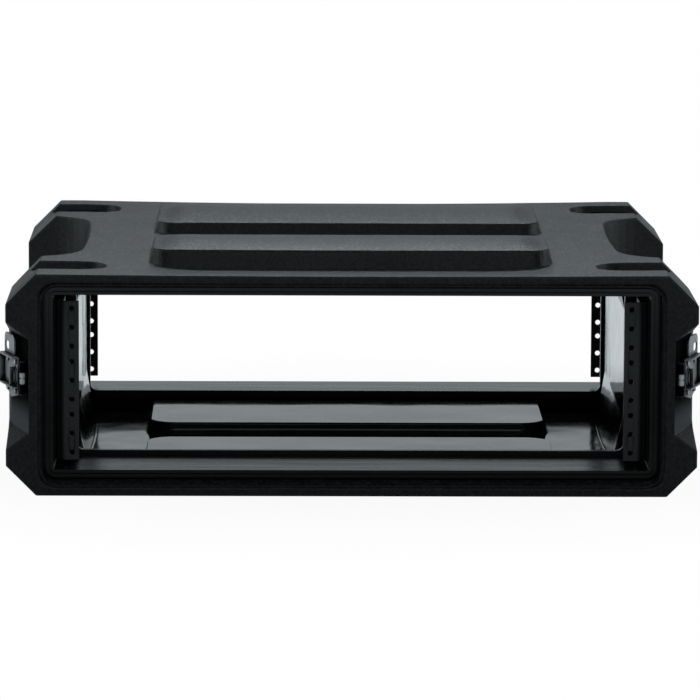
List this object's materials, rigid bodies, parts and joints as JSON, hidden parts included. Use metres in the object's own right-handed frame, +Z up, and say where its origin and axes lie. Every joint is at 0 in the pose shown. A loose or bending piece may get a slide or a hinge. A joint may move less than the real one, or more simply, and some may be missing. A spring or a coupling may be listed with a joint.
{
  "type": "equipment rack case",
  "caption": "Moulded open-ended transport case with 19-inch rack rails front and rear, stacking ribs, twist latches in scooped corners and fold-down side handles.",
  "frame": {"origin": "middle of the case's footprint, on the floor", "axes": "+X across the case to the right seen from the front, +Y from the front to the back, +Z up"},
  "size_m": [0.5874, 0.5466, 0.1936],
  "materials": {
    "moulded_polyethylene": "fine grained, matt outside",
    "glossy_frame_plastic": "smooth and glossy",
    "black_powder_coat": "satin powder coat",
    "black_anodised_aluminium": "ribbed extrusion, black anodised",
    "zinc_plated_steel": "bright zinc",
    "latch_steel": "plated sheet steel",
    "polished_pin_steel": "polished",
    "bracket_black": "satin black",
    "bail_steel": "plated rod",
    "grip_rubber": "matt rubber"
  },
  "bodies": {
    "case": {"shell": "moulded_polyethylene", "front_valance": "glossy_frame_plastic", "rear_valance": "glossy_frame_plastic", "valance_screws": "zinc_plated_steel", "rail_front_left": "black_powder_coat", "rail_front_right": "black_powder_coat", "rail_rear_left": "black_powder_coat", "rail_rear_right": "black_powder_coat", "spacer_front_left": "black_anodised_aluminium", "spacer_front_right": "black_anodised_aluminium", "spacer_rear_left": "black_anodised_aluminium", "spacer_rear_right": "black_anodised_aluminium", "rail_bolts": "zinc_plated_steel", "rail_washers": "zinc_plated_steel", "rail_nuts": "zinc_plated_steel", "latch_front_left_base": "latch_steel", "latch_front_left_cover": "latch_steel", "latch_front_right_base": "latch_steel", "latch_front_right_cover": "latch_steel", "latch_rear_left_base": "latch_steel", "latch_rear_left_cover": "latch_steel", "latch_rear_right_base": "latch_steel", "latch_rear_right_cover": "latch_steel", "latch_rivets": "zinc_plated_steel", "handle_left_brackets": "bracket_black", "handle_right_brackets": "bracket_black", "handle_rivets": "bracket_black"},
    "front_left_drawbolt": {"latch_front_left_drawbolt": "latch_steel", "latch_front_left_hook_pin": "polished_pin_steel"},
    "front_left_thumb_turn": {"latch_front_left_thumb_turn": "latch_steel"},
    "front_right_drawbolt": {"latch_front_right_drawbolt": "latch_steel", "latch_front_right_hook_pin": "polished_pin_steel"},
    "front_right_thumb_turn": {"latch_front_right_thumb_turn": "latch_steel"},
    "rear_left_drawbolt": {"latch_rear_left_drawbolt": "latch_steel", "latch_rear_left_hook_pin": "polished_pin_steel"},
    "rear_left_thumb_turn": {"latch_rear_left_thumb_turn": "latch_steel"},
    "rear_right_drawbolt": {"latch_rear_right_drawbolt": "latch_steel", "latch_rear_right_hook_pin": "polished_pin_steel"},
    "rear_right_thumb_turn": {"latch_rear_right_thumb_turn": "latch_steel"},
    "handle_left": {"handle_left_bail": "bail_steel", "handle_left_grip": "grip_rubber"},
    "handle_right": {"handle_right_bail": "bail_steel", "handle_right_grip": "grip_rubber"}
  },
  "joints": [
    {"name": "front_left_turn", "type": "hinge", "parent": "case", "child": "front_left_thumb_turn", "pos_m": [-0.27343, -0.25226, 0.09757], "axis": [0.9563, 0.2924, 0], "range_deg": [0, 110]},
    {"name": "front_left_draw", "type": "slide", "parent": "case", "child": "front_left_drawbolt", "axis": [0.2924, -0.9563, 0], "range_m": [0, 0.00919]},
    {"name": "front_right_turn", "type": "hinge", "parent": "case", "child": "front_right_thumb_turn", "pos_m": [0.27343, -0.25226, 0.09757], "axis": [0.9563, -0.2924, 0], "range_deg": [0, 110]},
    {"name": "front_right_draw", "type": "slide", "parent": "case", "child": "front_right_drawbolt", "axis": [-0.2924, -0.9563, 0], "range_m": [0, 0.00919]},
    {"name": "rear_left_turn", "type": "hinge", "parent": "case", "child": "rear_left_thumb_turn", "pos_m": [-0.27343, 0.25226, 0.09757], "axis": [-0.9563, 0.2924, 0], "range_deg": [0, 110]},
    {"name": "rear_left_draw", "type": "slide", "parent": "case", "child": "rear_left_drawbolt", "axis": [0.2924, 0.9563, 0], "range_m": [0, 0.00919]},
    {"name": "rear_right_turn", "type": "hinge", "parent": "case", "child": "rear_right_thumb_turn", "pos_m": [0.27343, 0.25226, 0.09757], "axis": [-0.9563, -0.2924, 0], "range_deg": [0, 110]},
    {"name": "rear_right_draw", "type": "slide", "parent": "case", "child": "rear_right_drawbolt", "axis": [-0.2924, 0.9563, 0], "range_m": [0, 0.00919]},
    {"name": "handle_left_swing", "type": "hinge", "parent": "case", "child": "handle_left", "pos_m": [-0.254, 0, 0.09978], "axis": [0, 1, 0], "range_deg": [0, 100]},
    {"name": "handle_right_swing", "type": "hinge", "parent": "case", "child": "handle_right", "pos_m": [0.254, 0, 0.09978], "axis": [0, -1, 0], "range_deg": [0, 100]}
  ],
  "couplings": [
    {"joint": "front_left_turn", "follows": "front_left_draw", "rad_per_m": 189.86},
    {"joint": "front_right_turn", "follows": "front_right_draw", "rad_per_m": 189.86},
    {"joint": "rear_left_turn", "follows": "rear_left_draw", "rad_per_m": 189.86},
    {"joint": "rear_right_turn", "follows": "rear_right_draw", "rad_per_m": 189.86}
  ]
}
